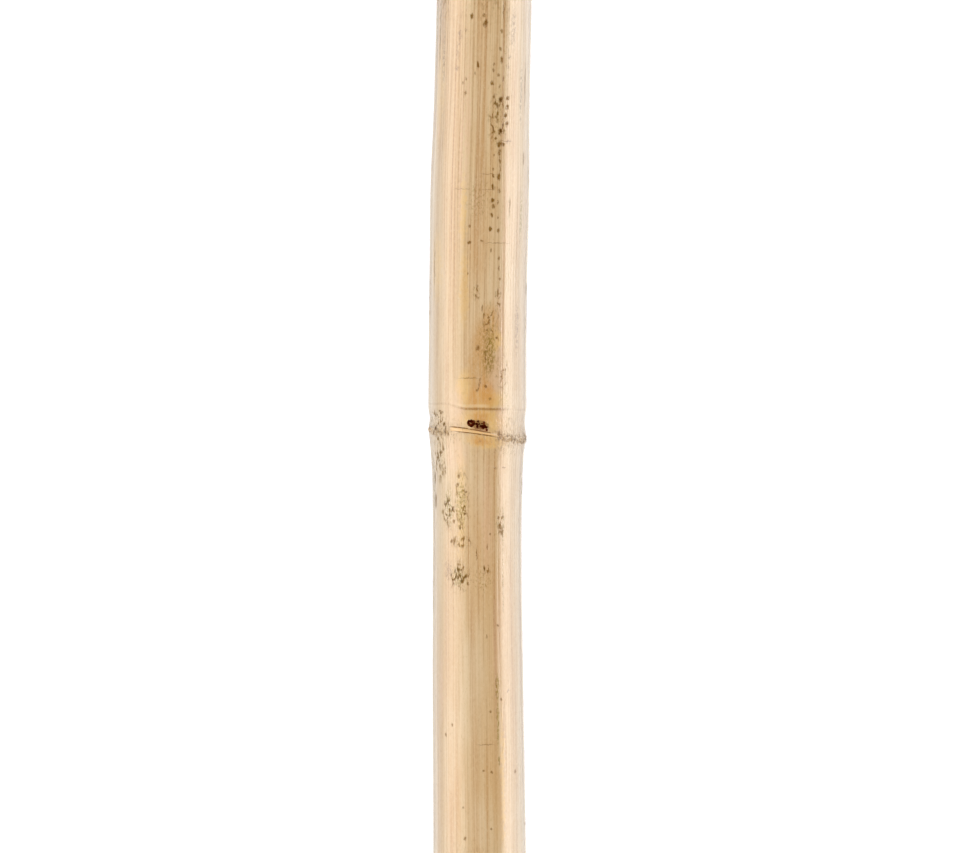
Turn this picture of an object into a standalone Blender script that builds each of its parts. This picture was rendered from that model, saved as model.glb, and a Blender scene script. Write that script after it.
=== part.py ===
"""A bamboo cane: one cut length of dry culm, lying on its side.

The cane lies along Y, with its butt cut at -Y and its tip cut at +Y, and +Z is up. It is one grown
piece: a thin wall, three nodes with their ridge, sheath scar and bud scar, and a diaphragm inside
each node. It rests on small worn flats under its three nodes. The origin is the bottom centre of its
bounding box. Lengths are in metres.
"""

import math
from dataclasses import dataclass

import bpy
import numpy as np

MM = 0.001

# The whole cane
CANE_LENGTH = 900 * MM
BUTT_Y = -CANE_LENGTH / 2
TIP_Y = CANE_LENGTH / 2
BUTT_DIAMETER = 35.0 * MM
TIP_DIAMETER = 33.4 * MM
RIM_BEVEL = 0.5 * MM

# The wall and the diaphragms
BUTT_WALL = 5.0 * MM
TIP_WALL = 4.2 * MM
DIAPHRAGM_ABOVE_SCAR = 5.0 * MM
DIAPHRAGM_THICKNESS = 2.6 * MM
VENT_RADIUS = 3.0 * MM
CHAMBER_END = 12.0 * MM
CHAMBER_END_POINTS = 5

# What every node shares, along the cane from its sheath scar
RIDGE_ABOVE_SCAR = 9.7 * MM
WAIST_ABOVE_SCAR = 4.7 * MM
INTERNODE_ABOVE_SCAR = 14.0 * MM
SCAR_WIDTH = 1.2 * MM
NECK_LENGTH = 38.0 * MM
NECK_FLARE = ((1.0, 0.0), (0.63, 0.09), (0.39, 0.20), (0.255, 0.39), (0.158, 0.57), (0.095, 0.73), (0.042, 0.88))
SCAR_LEAN_REACH = 4.5 * MM

# Bud scars and the flattened side above each
BUD_ABOVE_SCAR = 2.9 * MM
BUD_HALF_WIDTH = 4.4 * MM
BUD_HALF_HEIGHT = 2.0 * MM
BUD_RISE = 0.55 * MM
FLAT_SIDE_DEPTH = 0.3 * MM
FLAT_SIDE_HALF_ANGLE = math.radians(38)

# How the cane lies
REST_SINK = 0.4 * MM
INTERNODE_ARCH = 0.5 * MM
INTERNODE_OVAL = 0.985
OVAL_START = 14.0 * MM
OVAL_FULL = 40.0 * MM

# Steps of the turned shape
SIDES = 36
RING_SPACING = 31.0 * MM
NODE_RINGS = (-22, -14, -9, -6, -4, -2.6, -1.5, -0.6, 0.1, 0.7, 1.5, 2.8, 4.7, 6.4, 8.0, 9.7, 11.6, 14, 20)


@dataclass(frozen=True)
class CulmNode:
    """One node of the culm: places and diameters in metres."""

    scar_y: float
    neck: float
    scar: float
    waist: float
    ridge: float
    above: float
    scar_lean: float
    bud_angle: float
    drift: float


# The middle node is the one in the photograph
CULM_NODES = (
    CulmNode(-0.285, 33.2 * MM, 36.4 * MM, 35.6 * MM, 36.6 * MM, 36.3 * MM, 0.05, math.radians(-52), 2.0 * MM),
    CulmNode(0.005, 32.0 * MM, 35.3 * MM, 34.3 * MM, 35.45 * MM, 35.35 * MM, -0.077, math.radians(90), 0.0),
    CulmNode(0.302, 31.9 * MM, 34.7 * MM, 33.7 * MM, 34.6 * MM, 34.3 * MM, 0.04, math.radians(-121), 4.7 * MM),
)
MIDDLE_NODE = CULM_NODES[1]

# Diameters between nodes, by distance along the cane from the middle node's scar
INTERNODE_DIAMETERS = (
    (-0.225, 35.6 * MM),
    (-0.150, 33.5 * MM),
    (-0.096, 32.8 * MM),
    (0.048, 35.2 * MM),
    (0.084, 35.7 * MM),
    (0.120, 34.5 * MM),
    (0.156, 34.4 * MM),
    (0.215, 33.3 * MM),
)

# Sideways drift of the cane's own line, by distance from the middle node's scar
SIDE_DRIFT = (
    (-0.455, 2.5 * MM),
    (-0.150, 0.75 * MM),
    (-0.042, -0.05 * MM),
    (0.030, 0.05 * MM),
    (0.084, 0.8 * MM),
    (0.156, 2.4 * MM),
    (0.445, 5.6 * MM),
)


def smooth_line(stations):
    """A smooth curve through (place, value) stations that never overshoots them."""
    stations = sorted(stations)
    at = np.array([place for place, _ in stations])
    value = np.array([number for _, number in stations])
    step = np.diff(at)
    slope = np.diff(value) / step
    turn = np.zeros(len(at))
    turn[0], turn[-1] = slope[0], slope[-1]
    for i in range(1, len(slope)):
        if slope[i - 1] * slope[i] > 0:
            turn[i] = 2 / (1 / slope[i - 1] + 1 / slope[i])

    def curve(place):
        place = min(max(place, at[0]), at[-1])
        i = min(int(np.searchsorted(at, place, side="right")) - 1, len(step) - 1)
        t = (place - at[i]) / step[i]
        rise = (1 + 2 * t) * (1 - t) ** 2 * value[i] + t * t * (3 - 2 * t) * value[i + 1]
        return float(rise + step[i] * t * (1 - t) * ((1 - t) * turn[i] - t * turn[i + 1]))

    return curve


def node_stations(node):
    """(place, diameter) down the neck, over the sheath scar, the waist and the ridge of one node."""
    stations = [
        (node.scar_y - NECK_LENGTH * share, node.neck + (node.scar - node.neck) * rise)
        for share, rise in NECK_FLARE
    ]
    stations += [
        (node.scar_y - SCAR_WIDTH / 2, node.scar),
        (node.scar_y + SCAR_WIDTH / 2, node.scar - (node.scar - node.waist) * 0.15),
        (node.scar_y + WAIST_ABOVE_SCAR, node.waist),
        (node.scar_y + RIDGE_ABOVE_SCAR, node.ridge),
        (node.scar_y + INTERNODE_ABOVE_SCAR, node.above),
    ]
    return stations


def outline():
    """The cane's outer diameter at any place along it."""
    stations = [(BUTT_Y, BUTT_DIAMETER), (TIP_Y, TIP_DIAMETER)]
    stations += [(MIDDLE_NODE.scar_y + place, diameter) for place, diameter in INTERNODE_DIAMETERS]
    for node in CULM_NODES:
        stations += node_stations(node)
    return smooth_line(stations)


def side_drift():
    """The sideways place of the cane's own line, before the bounding box is centred."""
    stations = [(MIDDLE_NODE.scar_y + place, drift) for place, drift in SIDE_DRIFT]
    return smooth_line(stations + [(node.scar_y, node.drift) for node in CULM_NODES])


diameter_at = outline()
drift_at = side_drift()


def nearest_node(y):
    return min(CULM_NODES, key=lambda node: abs(node.scar_y - y))


def lie_height(y):
    """The height of the cane's own line: each ridge stands on the ground, and each internode arches."""
    places = [node.scar_y + RIDGE_ABOVE_SCAR for node in CULM_NODES]
    heights = [node.ridge / 2 - REST_SINK for node in CULM_NODES]
    slopes = np.diff(heights) / np.diff(places)
    if y < places[0]:
        return heights[0] + slopes[0] * (y - places[0])
    if y > places[-1]:
        return heights[-1] + slopes[-1] * (y - places[-1]) + INTERNODE_ARCH * (y - places[-1]) / (TIP_Y - places[-1])
    i = 0 if y < places[1] else 1
    share = (y - places[i]) / (places[i + 1] - places[i])
    return heights[i] + slopes[i] * (y - places[i]) + INTERNODE_ARCH * math.sin(math.pi * share)


def oval_at(y):
    """Depth over width: round at a node, slightly flatter between nodes."""
    away = (abs(nearest_node(y).scar_y - y) - OVAL_START) / (OVAL_FULL - OVAL_START)
    away = min(max(away, 0.0), 1.0)
    return 1 + (INTERNODE_OVAL - 1) * away * away * (3 - 2 * away)


def angle_between(a, b):
    return (a - b + math.pi) % (2 * math.pi) - math.pi


def bud_rise(y, angle, radius):
    """The low lens of the bud scar, just above the sheath scar."""
    node = nearest_node(y)
    across = angle_between(angle, node.bud_angle) * radius / BUD_HALF_WIDTH
    along = (y - node.scar_y - BUD_ABOVE_SCAR) / BUD_HALF_HEIGHT
    inside = 1 - across * across - along * along
    return BUD_RISE * math.sqrt(inside) if inside > 0 else 0.0


def flat_side(y, angle):
    """How far the side above a bud is pressed in, fading towards the next node."""
    below = [node for node in CULM_NODES if node.scar_y + INTERNODE_ABOVE_SCAR < y]
    if not below:
        return 0.0
    node = below[-1]
    across = angle_between(angle, node.bud_angle) / FLAT_SIDE_HALF_ANGLE
    if abs(across) >= 1:
        return 0.0
    along = (y - node.scar_y - INTERNODE_ABOVE_SCAR) / 0.25
    fade = min(along * 12, 1.0) * max(1 - along, 0.0)
    return FLAT_SIDE_DEPTH * fade * (1 + math.cos(math.pi * across)) / 2


def wall_at(y):
    share = (y - BUTT_Y) / CANE_LENGTH
    return BUTT_WALL + (TIP_WALL - BUTT_WALL) * share


def bore_radius(y):
    """The inner wall ignores the scars and ridges outside."""
    span = [y - 2 * NECK_LENGTH * share for share in (-1, -0.5, 0, 0.5, 1)]
    return min(diameter_at(place) for place in span) / 2 - wall_at(y)


def ring_places():
    """Where the outer rings lie: close together over each node, spaced out between nodes."""
    places = [node.scar_y + offset * MM for node in CULM_NODES for offset in NODE_RINGS]
    stops = [BUTT_Y + RIM_BEVEL] + places + [TIP_Y - RIM_BEVEL]
    for low, high in zip(stops[:-1], stops[1:]):
        gaps = round((high - low) / RING_SPACING)
        places += [low + (high - low) * i / gaps for i in range(1, gaps)]
    return sorted([stops[0], *places, stops[-1]])


def outer_profile():
    """(radius, y) up the outside, with a small bevel at each cut rim."""
    profile = [(diameter_at(y) / 2, y) for y in ring_places()]
    return [
        (BUTT_DIAMETER / 2 - RIM_BEVEL, BUTT_Y),
        *profile,
        (TIP_DIAMETER / 2 - RIM_BEVEL, TIP_Y),
    ]


def inner_profile():
    """(radius, y) up the inside: chambers with rounded ends, and a vent through each diaphragm."""
    profile = [(bore_radius(BUTT_Y), BUTT_Y)]
    start = BUTT_Y
    for node in CULM_NODES:
        middle = node.scar_y + DIAPHRAGM_ABOVE_SCAR
        low, high = middle - DIAPHRAGM_THICKNESS / 2, middle + DIAPHRAGM_THICKNESS / 2
        profile += chamber_side(start, low - CHAMBER_END)
        profile += chamber_end(low, -1)
        profile += reversed(chamber_end(high, 1))
        start = high + CHAMBER_END
    profile += chamber_side(start, TIP_Y)
    return profile


def chamber_side(low, high):
    """Points up a chamber's straight wall, the upper end included."""
    gaps = max(2, round((high - low) / (3 * RING_SPACING)))
    places = [low + (high - low) * i / gaps for i in range(1, gaps + 1)]
    return [(bore_radius(y), y) for y in places]


def chamber_end(face, way):
    """The rounded end of a chamber, from its wall in to the vent."""
    wall = bore_radius(face + way * CHAMBER_END)
    points = []
    for i in range(1 if way < 0 else 0, CHAMBER_END_POINTS + 1):
        turn = math.pi / 2 * i / CHAMBER_END_POINTS
        radius = VENT_RADIUS + (wall - VENT_RADIUS) * math.cos(turn)
        points.append((radius, face + way * CHAMBER_END * (1 - math.sin(turn))))
    return points


def turned_culm():
    """The closed wall profile, turned about the cane's own line while that is still straight."""
    profile = outer_profile() + list(reversed(inner_profile()))
    mesh = bpy.data.meshes.new("culm_profile")
    points = [(radius, y, 0.0) for radius, y in profile]
    count = len(points)
    mesh.from_pydata(points, [(i, (i + 1) % count) for i in range(count)], [])
    obj = bpy.data.objects.new("culm_profile", mesh)
    bpy.context.scene.collection.objects.link(obj)
    screw = obj.modifiers.new("turn", "SCREW")
    screw.axis = "Y"
    screw.angle = 2 * math.pi
    screw.steps = screw.render_steps = SIDES
    screw.use_merge_vertices = True
    screw.merge_threshold = 0.00001
    screw.use_normal_calculate = True
    graph = bpy.context.evaluated_depsgraph_get()
    turned = bpy.data.meshes.new_from_object(obj.evaluated_get(graph))
    bpy.data.objects.remove(obj)
    return turned


def grown_place(x, y, z):
    """Moves a point of the straight turned shape to its place on the grown cane."""
    radius = math.hypot(x, z)
    angle = math.atan2(z, x)
    oval = 1.0
    if radius > diameter_at(y) / 2 - wall_at(y) / 2 and BUTT_Y < y < TIP_Y:
        radius += bud_rise(y, angle, radius) - flat_side(y, angle)
        oval = oval_at(y)
    side = radius * math.cos(angle)
    up = radius * math.sin(angle) * oval
    node = nearest_node(y)
    lean = node.scar_lean / (1 + ((y - node.scar_y) / SCAR_LEAN_REACH) ** 4)
    return drift_at(y) + side, y + lean * side, max(lie_height(y) + up, 0.0)


def dry_culm_material():
    material = bpy.data.materials.new("dry_culm")
    material.use_nodes = True
    shader = material.node_tree.nodes["Principled BSDF"]
    shader.inputs["Base Color"].default_value = (0.70, 0.52, 0.30, 1)
    shader.inputs["Roughness"].default_value = 0.42
    shader.inputs["Metallic"].default_value = 0.0
    return material


def build_culm(collection):
    mesh = turned_culm()
    mesh.name = "culm"
    for vertex in mesh.vertices:
        vertex.co = grown_place(*vertex.co)
    side_places = [vertex.co.x for vertex in mesh.vertices]
    centre = (min(side_places) + max(side_places)) / 2
    for vertex in mesh.vertices:
        vertex.co.x -= centre
    mesh.materials.append(dry_culm_material())
    mesh.shade_smooth()
    mesh.set_sharp_from_angle(angle=math.radians(40))
    culm = bpy.data.objects.new("culm", mesh)
    collection.objects.link(culm)
    return culm


def main():
    for obj in list(bpy.data.objects):
        bpy.data.objects.remove(obj)
    collection = bpy.data.collections.new("bamboo_cane")
    bpy.context.scene.collection.children.link(collection)
    build_culm(collection)


main()
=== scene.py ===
"""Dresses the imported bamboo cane: waxy striated skin, scars, bud remains and sawn ends, in soft light."""

import math
import random
from dataclasses import dataclass
from functools import lru_cache

import bmesh
import bpy
from mathutils import Matrix, Vector, noise


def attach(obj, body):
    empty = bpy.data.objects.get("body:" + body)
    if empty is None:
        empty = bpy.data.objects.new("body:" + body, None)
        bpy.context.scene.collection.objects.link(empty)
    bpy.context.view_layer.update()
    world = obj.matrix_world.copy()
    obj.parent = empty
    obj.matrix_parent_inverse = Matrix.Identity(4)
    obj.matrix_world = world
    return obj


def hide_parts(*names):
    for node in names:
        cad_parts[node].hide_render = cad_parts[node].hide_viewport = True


MM = 0.001

# The cane's own sizes, as the solid has them
CANE_LENGTH = 900 * MM
BUTT_Y = -CANE_LENGTH / 2
TIP_Y = CANE_LENGTH / 2
BUTT_DIAMETER = 35.0 * MM
TIP_DIAMETER = 33.4 * MM
RIM_BEVEL = 0.5 * MM
BUTT_WALL = 5.0 * MM
TIP_WALL = 4.2 * MM
DIAPHRAGM_ABOVE_SCAR = 5.0 * MM
DIAPHRAGM_THICKNESS = 2.6 * MM
VENT_RADIUS = 3.0 * MM
CHAMBER_END = 12.0 * MM
CHAMBER_END_POINTS = 10
RIDGE_ABOVE_SCAR = 9.7 * MM
WAIST_ABOVE_SCAR = 4.7 * MM
INTERNODE_ABOVE_SCAR = 14.0 * MM
SCAR_WIDTH = 1.2 * MM
NECK_LENGTH = 38.0 * MM
NECK_FLARE = (
    (1.0, 0.0), (0.63, 0.09), (0.39, 0.20), (0.255, 0.39), (0.158, 0.57), (0.095, 0.73), (0.042, 0.88),
)
SCAR_LEAN_REACH = 4.5 * MM
BUD_ABOVE_SCAR = 2.9 * MM
BUD_HALF_WIDTH = 4.4 * MM
BUD_HALF_HEIGHT = 2.0 * MM
BUD_RISE = 0.35 * MM
BUD_ROUGHNESS = 0.3 * MM
FLAT_SIDE_DEPTH = 0.3 * MM
FLAT_SIDE_LENGTH = 250 * MM
FLAT_SIDE_QUICK_START = 12
FLAT_SIDE_HALF_ANGLE = math.radians(38)
REST_SINK = 0.4 * MM
INTERNODE_ARCH = 0.5 * MM
INTERNODE_OVAL = 0.985
OVAL_START = 14.0 * MM
OVAL_FULL = 40.0 * MM
SLOW_RELIEF = 0.09 * MM
QUICK_RELIEF = 0.035 * MM

# What is left of the sheaths and the buds: fibres tried at each node, their lengths and widths in
# millimetres, and each bud's ring and torn cluster of scales, placed right of the bud and above the scar
FIBRES_TRIED = 420
FIBRE_LENGTHS = (0.5, 1.9)
FIBRE_WIDTHS = (0.1, 0.26)
RING_SCALES = 13
RING_ACROSS, RING_ABOVE = -2.2 * MM, 2.9 * MM
RING_HALF_WIDTH, RING_HALF_HEIGHT = 1.1 * MM, 0.8 * MM
TORN_SCALES = 24

# Steps of the fine surface, and how far the finer ones reach below and above the middle scar or each scar
SIDES = 112
SKIN_RADIUS = 17.5 * MM
SCAR_STEP = 0.2 * MM
NODE_STEP = 0.42 * MM
SEEN_STEP = 1.05 * MM
FAR_STEP = 2.7 * MM
SHARP_ANGLE = math.radians(40)
SEEN_REACH = (160 * MM, 165 * MM)
NODE_REACH = (13 * MM, 15 * MM)
SCAR_REACH = (3.5 * MM, 6 * MM)

# The culm's flat map, in millimetres: three strips of skin, then the chambers, smaller, and the cut ends
MAP_GAP = 4.0
MAP_STRIP = 2 * math.pi * SKIN_RADIUS / MM
MAP_CHAMBERS_FROM = 3 * (MAP_STRIP + MAP_GAP)
MAP_CHAMBER_SCALE = 0.22
MAP_ENDS_FROM = 212.0
MAP_END_SPACE = 42.0
MAP_SIZE = 392.0

# The photograph: its middle, and the middle node's sheath scar in it, in pixels
PHOTO_SIZE = (970, 853)
SCAR_PIXEL = (477.5, 433.0)
PIXEL = 0.36 * MM
LENS = 100.0
SENSOR = 36.0


@dataclass(frozen=True)
class CulmNode:
    """One node of the culm: places and diameters in metres."""

    scar_y: float
    neck: float
    scar: float
    waist: float
    ridge: float
    above: float
    scar_lean: float
    bud_angle: float
    drift: float


CULM_NODES = (
    CulmNode(
        -0.285, 33.2 * MM, 36.4 * MM, 35.6 * MM, 36.6 * MM, 36.3 * MM, 0.05, math.radians(-52), 2.0 * MM
    ),
    CulmNode(
        0.005, 32.0 * MM, 35.3 * MM, 34.3 * MM, 35.45 * MM, 35.35 * MM, -0.077, math.radians(90), 0.0
    ),
    CulmNode(
        0.302, 31.9 * MM, 34.7 * MM, 33.7 * MM, 34.6 * MM, 34.3 * MM, 0.04, math.radians(-121), 4.7 * MM
    ),
)
MIDDLE_NODE = CULM_NODES[1]

# Diameters between nodes, by distance along the cane from the middle node's scar
INTERNODE_DIAMETERS = (
    (-0.225, 35.6 * MM),
    (-0.150, 33.5 * MM),
    (-0.096, 32.8 * MM),
    (0.048, 35.2 * MM),
    (0.084, 35.7 * MM),
    (0.120, 34.5 * MM),
    (0.156, 34.4 * MM),
    (0.215, 33.3 * MM),
)

# Sideways drift of the cane's own line, by distance from the middle node's scar
SIDE_DRIFT = (
    (-0.455, 2.5 * MM),
    (-0.150, 0.75 * MM),
    (-0.042, -0.05 * MM),
    (0.030, 0.05 * MM),
    (0.084, 0.8 * MM),
    (0.156, 2.4 * MM),
    (0.445, 5.6 * MM),
)

# Marks seen on the skin: place in the photograph's pixels, then width and height there
BOLD_SPOTS = (
    (472, 16, 3.5, 6), (485.5, 23, 4.5, 8), (478, 64.6, 2.2, 8), (492.4, 83, 3, 5), (501.7, 60, 3, 8),
    (507.7, 98, 3, 5), (507.3, 107, 3.5, 5), (507, 123, 3, 4.5), (500, 131.6, 4, 7),
    (499.7, 144.5, 5.5, 6), (503.7, 144.7, 3, 4), (499.5, 152, 3, 8), (493.3, 176, 3.2, 4),
    (499.2, 177, 3.4, 7.5), (493.2, 187, 3.4, 6), (493.2, 200.5, 3.2, 5), (492, 215, 3.2, 4.5),
    (490.6, 229, 3.2, 5), (468.8, 242.5, 4.5, 3.6), (505.7, 115, 3, 5), (496, 138, 2.6, 4),
    (501, 99, 3.8, 6), (441.5, 412.5, 3.4, 3.6), (439.6, 410.2, 2.4, 2.2), (444.3, 424, 1.7, 5),
    (446, 428, 1.9, 4.4), (485.8, 386.3, 3, 3), (476.9, 391, 2.8, 3.2), (436, 428.5, 2.5, 3.5),
)
MILD_SPOTS = (
    (484, 15, 2.5, 4), (501.7, 31, 2.4, 5), (500.7, 49, 2.4, 4), (494, 64, 2.6, 3.4), (493.7, 70, 2.8, 4),
    (498.5, 75, 2.4, 4), (503.7, 79, 2.2, 6), (500, 86, 2.2, 4), (494, 96, 2.4, 4), (498, 106, 3.4, 6),
    (495.3, 102, 2.2, 5), (497.2, 120.5, 2.4, 6), (503, 125, 2.2, 4), (493.2, 129, 2.2, 4),
    (500, 160, 2.2, 9), (500.3, 169, 1.8, 8), (494, 155, 2, 3), (493.7, 169, 2, 3),
    (499.3, 190.6, 2.8, 5), (493.2, 206.5, 2.8, 5), (497.7, 202, 2, 4), (498, 218, 2, 3),
    (498, 231, 2.6, 4), (469.4, 226, 2.6, 3), (482, 241, 2.2, 2.2), (491, 250, 2.2, 4), (499, 258, 2, 5),
    (499, 268, 2, 5), (467.4, 273.5, 2, 3), (499.7, 279, 2, 3), (465.8, 78.5, 2.2, 3), (463, 83, 2.2, 3),
    (465.6, 93, 2.2, 5), (465.8, 30, 2.2, 3), (475, 73, 1.4, 4), (476, 296, 2, 3), (482.4, 308, 1.6, 8),
    (488.6, 317.7, 2.4, 2.6), (486.4, 324, 1.8, 2.4), (486.9, 330, 1.8, 2.2), (496.5, 338, 2, 2.6),
    (478, 348, 4, 6), (485.4, 359, 2, 3), (490, 399, 2.4, 3), (441, 452, 2, 4), (438, 457, 2, 6),
    (440, 466, 2, 8), (435.4, 478, 1.8, 12), (436, 500, 1.6, 16), (445.5, 470, 1.8, 9), (457, 485, 3, 4),
    (459, 476, 2.4, 4), (457.5, 495, 2.4, 4), (465.8, 492, 2.6, 3), (445, 504, 2.4, 5),
    (452.7, 508, 2.6, 4), (464.6, 514, 3, 3.4), (454, 521.5, 2.4, 4), (460, 528, 2.6, 3),
    (451.5, 540.6, 2.8, 4), (468.6, 540.6, 2.6, 3), (495.3, 468.4, 3, 2), (503.7, 467.6, 3.4, 1.5),
    (487.4, 547, 2, 5), (490, 534, 2, 3), (498.5, 518, 2, 3), (476.6, 554, 1.4, 11), (483.8, 569, 2, 3),
    (457, 577, 2, 3.4), (461.5, 581, 2.2, 3), (465.5, 577, 2, 3), (468, 584, 2.2, 3),
    (459, 586, 1.8, 2.6), (498, 625.5, 2.4, 3), (487, 636.7, 2, 4), (490.2, 711.6, 2.6, 3),
    (501.3, 699.6, 2, 3), (515, 771.7, 2, 4), (446, 735, 2, 4), (452, 725, 1.8, 4),
    (483.6, 771, 2.4, 2.4), (491.7, 772.6, 2.8, 2), (463, 808, 2, 3), (465.4, 839, 2, 4),
    (491.3, 829, 2, 3), (525, 823.5, 2, 4), (480.4, 380.5, 1.5, 5), (479.2, 385, 1.5, 5),
    (478, 389, 1.6, 4), (503.8, 8, 1.4, 20),
)
HAIRLINES = (
    (497, 243, 25, 0.9), (489, 174, 18, 0.8), (488.6, 190, 12, 0.8), (469, 378.2, 20, 1.1),
    (486, 745, 18, 1.0), (505, 141, 14, 0.7), (462, 189, 16, 0.7), (440.5, 34, 1.1, 70),
    (434.6, 267, 1.1, 58), (525, 85, 1.2, 50), (523.5, 159, 1.2, 14), (509.7, 207, 1.4, 18),
)
GREY_SMUDGES = (
    (456.7, 68.6, 5, 6), (460, 34, 5, 14), (458, 50, 4, 22), (513.5, 30, 5, 52), (508.5, 141.5, 5, 6),
    (507.7, 67, 3, 5), (517, 328, 4, 58), (510, 56.6, 3, 5), (447, 570, 5, 8), (451, 574, 3, 5),
    (508.5, 691, 3, 4), (444, 60, 3, 60), (521, 95, 2.5, 70), (448, 570, 8, 20),
)
SCUFFS = (
    (438, 462, 13, 24), (462, 500, 16, 64), (448, 511, 16, 32), (461, 542, 24, 14), (459, 576, 28, 32),
    (486, 570, 10, 11), (501, 523, 8, 30), (476, 292, 10, 18), (498, 298, 6, 40), (488, 318, 13, 32),
    (493, 332, 15, 28), (502, 372, 13, 34), (436, 420, 16, 22), (498, 120, 20, 60), (440, 455, 10, 60),
)
GOLDEN_PATCHES = (
    (464, 288, 9, 80), (463, 212, 6, 80), (436, 265, 10, 70), (461, 500, 10, 120), (503, 780, 4, 150),
    (440, 90, 8, 110),
)
# Tan patches: partly real tan blotches, partly painted shade down the top middle of the cane
TAN_AND_SHADE_PATCHES = (
    (488, 352, 24, 90), (492, 800, 40, 150), (484, 560, 26, 160), (480, 240, 30, 90), (489, 120, 26, 200),
    (486, 366, 16, 56), (454, 790, 34, 150), (512, 800, 16, 140), (486, 340, 12, 50), (490, 810, 24, 90),
    (463, 292, 6, 60),
)
SPECKLED_PATCHES = (
    (488, 345, 26, 80), (478, 200, 26, 50), (498, 525, 10, 40), (505, 405, 14, 50), (508, 50, 8, 90),
    (508, 450, 40, 14), (440, 440, 24, 40), (482, 580, 26, 30),
)
OLIVE_STAINS = (
    (497, 686, 4, 26), (497.4, 696, 3.6, 9), (497.7, 724, 2.4, 52), (499.3, 761, 2.4, 12),
    (521, 215, 2.4, 56), (503, 530, 2.2, 60), (434, 480, 3, 60), (449, 508, 9, 46), (461, 505, 10, 56),
    (458, 577, 14, 22), (503, 575, 1.6, 90), (437, 38, 2, 80), (489, 352, 14, 50),
)
PINK_STREAKS = (
    (441.5, 685, 4, 74), (438.7, 131, 2.4, 14), (506, 200, 6, 190), (468, 120, 5, 160),
    (500, 320, 14, 70), (497, 640, 8, 130), (487, 520, 12, 120), (461, 160, 3, 180),
)

# Marks round each node: millimetres right of its bud and above its scar, then half width and half height
AMBER_STAINS = ((2.6, 13.6, 4.6, 6.4), (1.4, -2.9, 4.6, 1.9), (1.0, 5.6, 4.4, 2.4), (-1.2, 12, 2.6, 5))
HONEY_STAINS = (
    (1.4, 4.6, 8.8, 4.0), (-4.1, 15.5, 3.5, 6.8), (6.2, 33, 2.6, 4.2), (2.0, 12.0, 8, 4.0), (3, -3, 7, 2.6),
)
OCHRE_STAINS = ((1.6, 29, 4.4, 13), (4.6, 38, 3.4, 8), (-1.5, 22, 2.2, 9))
ROSY_STAINS = ((7.2, 22, 3.6, 9.5), (-7.6, 8, 3.4, 9), (8.8, 6, 2.6, 4), (-8, -8, 5, 6))
BUD_MARK = ((0.5, 2.7, 4.4, 2.0),)
FRINGE_MARK = ((1.3, 1.3, 3.1, 1.0),)

# The lip of a sheath scar, unbroken near the bud: millimetres to the bud's right, half widths, and reliefs
LIP_FROM, LIP_TO = -9.0, 5.0
LIP_HALF_WIDTHS = (0.66, 0.4)
LIP_RISE = 0.26
GROOVE_DEPTH = 0.15
TORN_RELIEF = 0.2

# The scar wanders off its leaning ring: angle to the right of the bud, spread of the angle, and rise
SCAR_WANDER = (
    (math.radians(-25), math.radians(30), 0.75 * MM),
    (math.radians(45), math.radians(25), -0.8 * MM),
)

# The crease under the ridge, in millimetres: above the scar at its right and left, its step and its relief
CREASE_RIGHT, CREASE_LEFT = 8.5, 10.4
CREASE_STEP = (-12.2, -3.7)
CREASE_DEPTH = 0.09
CREASE_EDGE_RISE = 0.07
CREASE_EDGE_ABOVE = 1.1

random.seed(17)
noise.seed_set(17)
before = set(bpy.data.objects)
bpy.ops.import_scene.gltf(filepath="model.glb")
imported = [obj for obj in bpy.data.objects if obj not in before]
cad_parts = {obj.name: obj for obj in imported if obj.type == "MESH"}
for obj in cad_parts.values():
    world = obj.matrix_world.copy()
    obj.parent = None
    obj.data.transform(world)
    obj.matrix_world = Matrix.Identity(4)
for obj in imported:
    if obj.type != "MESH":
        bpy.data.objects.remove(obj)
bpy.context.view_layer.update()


def smooth_line(stations):
    """A smooth curve through (place, value) stations that never overshoots them."""
    stations = sorted(stations)
    step = [b[0] - a[0] for a, b in zip(stations, stations[1:])]
    slope = [(b[1] - a[1]) / gap for a, b, gap in zip(stations, stations[1:], step)]
    turn = [slope[0]]
    for before, after in zip(slope, slope[1:]):
        turn.append(2 / (1 / before + 1 / after) if before * after > 0 else 0.0)
    turn.append(slope[-1])

    @lru_cache(maxsize=None)
    def curve(place):
        place = min(max(place, stations[0][0]), stations[-1][0])
        i = 0
        while i < len(step) - 1 and place > stations[i + 1][0]:
            i += 1
        t = (place - stations[i][0]) / step[i]
        rise = (1 + 2 * t) * (1 - t) ** 2 * stations[i][1] + t * t * (3 - 2 * t) * stations[i + 1][1]
        return rise + step[i] * t * (1 - t) * ((1 - t) * turn[i] - t * turn[i + 1])

    return curve


def node_stations(node):
    """(place, diameter) down the neck, over the sheath scar, the waist and the ridge of one node."""
    stations = [
        (node.scar_y - NECK_LENGTH * share, node.neck + (node.scar - node.neck) * rise)
        for share, rise in NECK_FLARE
    ]
    stations += [
        (node.scar_y - SCAR_WIDTH / 2, node.scar),
        (node.scar_y + SCAR_WIDTH / 2, node.scar - (node.scar - node.waist) * 0.15),
        (node.scar_y + WAIST_ABOVE_SCAR, node.waist),
        (node.scar_y + RIDGE_ABOVE_SCAR, node.ridge),
        (node.scar_y + INTERNODE_ABOVE_SCAR, node.above),
    ]
    return stations


def outline():
    """The cane's outer diameter at any place along it."""
    stations = [(BUTT_Y, BUTT_DIAMETER), (TIP_Y, TIP_DIAMETER)]
    stations += [(MIDDLE_NODE.scar_y + place, diameter) for place, diameter in INTERNODE_DIAMETERS]
    for node in CULM_NODES:
        stations += node_stations(node)
    return smooth_line(stations)


def side_drift():
    """The sideways place of the cane's own line, before the bounding box is centred."""
    stations = [(MIDDLE_NODE.scar_y + place, drift) for place, drift in SIDE_DRIFT]
    return smooth_line(stations + [(node.scar_y, node.drift) for node in CULM_NODES])


diameter_at = outline()
drift_at = side_drift()


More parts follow.
